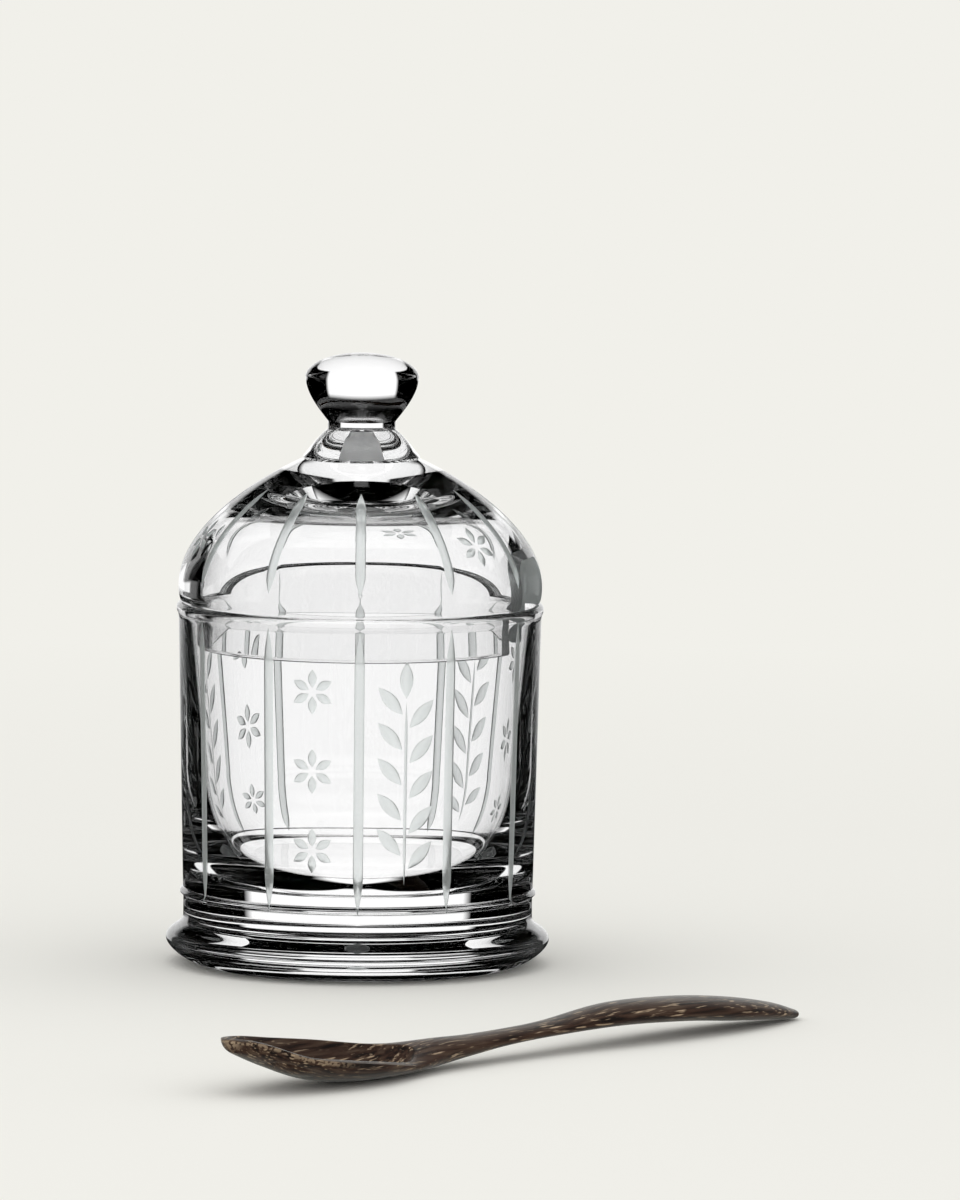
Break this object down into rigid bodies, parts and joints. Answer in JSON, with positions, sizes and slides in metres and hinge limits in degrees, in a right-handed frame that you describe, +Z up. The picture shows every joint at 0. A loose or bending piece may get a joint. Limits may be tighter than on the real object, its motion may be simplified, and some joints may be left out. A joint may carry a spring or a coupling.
{
  "type": "honey pot",
  "caption": "Cylindrical cut-crystal honey pot with a heavy flared foot, a loose domed lid with knob and spoon notch, and a carved palm-wood spoon lying in front of it.",
  "frame": {"origin": "centre of the pot's flat base, on the table", "axes": "+Z up along the pot's axis, +X to the right in the picture, -Y towards the viewer, where the spoon lies"},
  "size_m": [0.1412, 0.2699, 0.1392],
  "materials": {
    "crystal": "fire-polished clear crystal with ground mitre cuts",
    "palm_wood": "dark palm wood, smoothed and oiled"
  },
  "bodies": {
    "pot": {"pot": "crystal"},
    "lid": {"lid_dome": "crystal", "lid_knob": "crystal"},
    "spoon": {"spoon": "palm_wood"}
  },
  "joints": [
    {"name": "lid_lift", "type": "slide", "parent": "pot", "child": "lid", "axis": [0, 0, 1], "range_m": [0, 0.09]},
    {"name": "spoon_lift", "type": "slide", "parent": "pot", "child": "spoon", "axis": [0, 0, 1], "range_m": [0, 0.12]}
  ]
}
